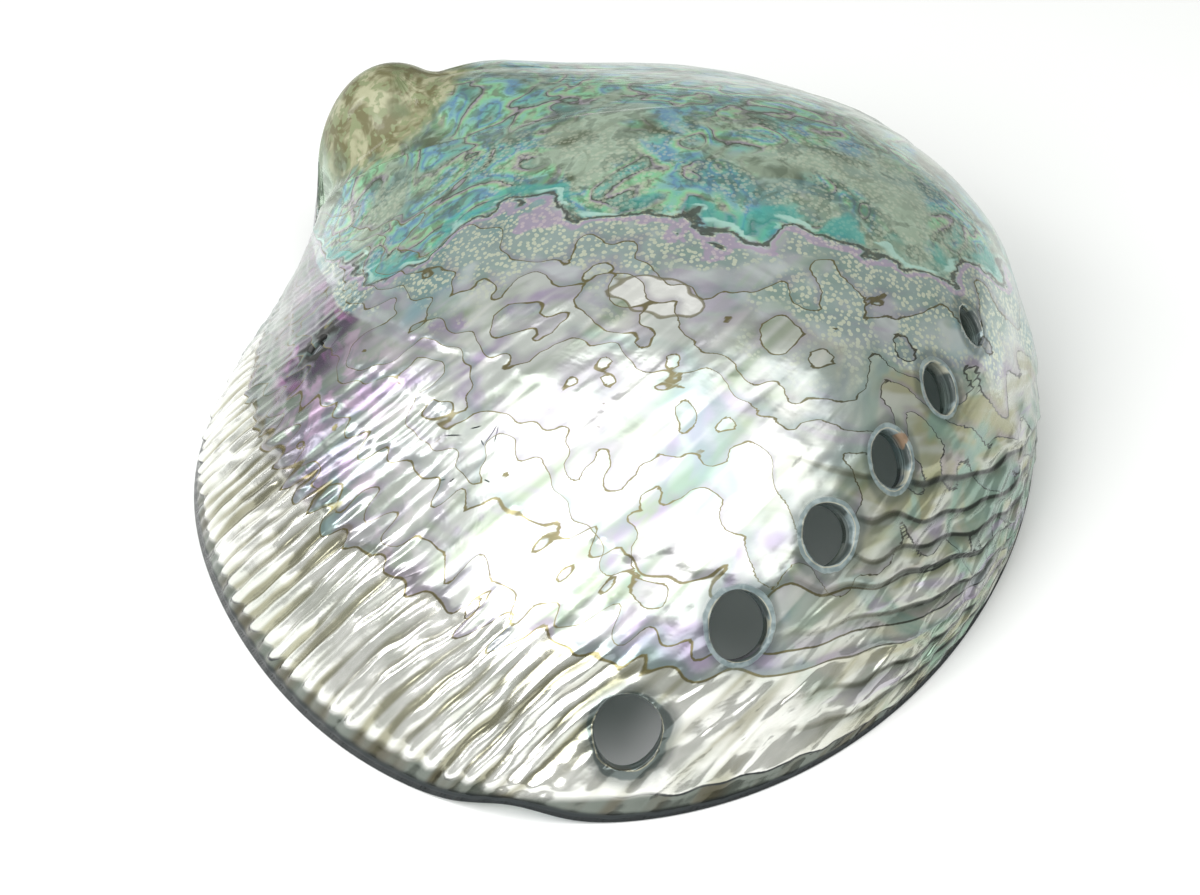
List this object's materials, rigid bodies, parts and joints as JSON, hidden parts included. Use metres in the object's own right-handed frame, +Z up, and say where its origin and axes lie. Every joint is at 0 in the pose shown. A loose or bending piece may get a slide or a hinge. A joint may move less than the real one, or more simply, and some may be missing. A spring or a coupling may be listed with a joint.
{
  "type": "abalone shell",
  "caption": "Polished ear-shaped sea shell, domed above and open below, with a low spire at one end and a curved row of open pores along one side; rests on its rim.",
  "frame": {"origin": "middle of the bottom of the bounding box, on the plane that the rim rests on", "axes": "+Z up through the dome; Y along the length, the newest edge of the shell at -Y and the spire near +Y; the pores on the +X side"},
  "size_m": [0.1234, 0.1502, 0.0462],
  "materials": {
    "nacre": "polished mother of pearl, silvery white with green, blue and violet sheen"
  },
  "bodies": {
    "root": {"shell": "nacre"}
  },
  "joints": []
}
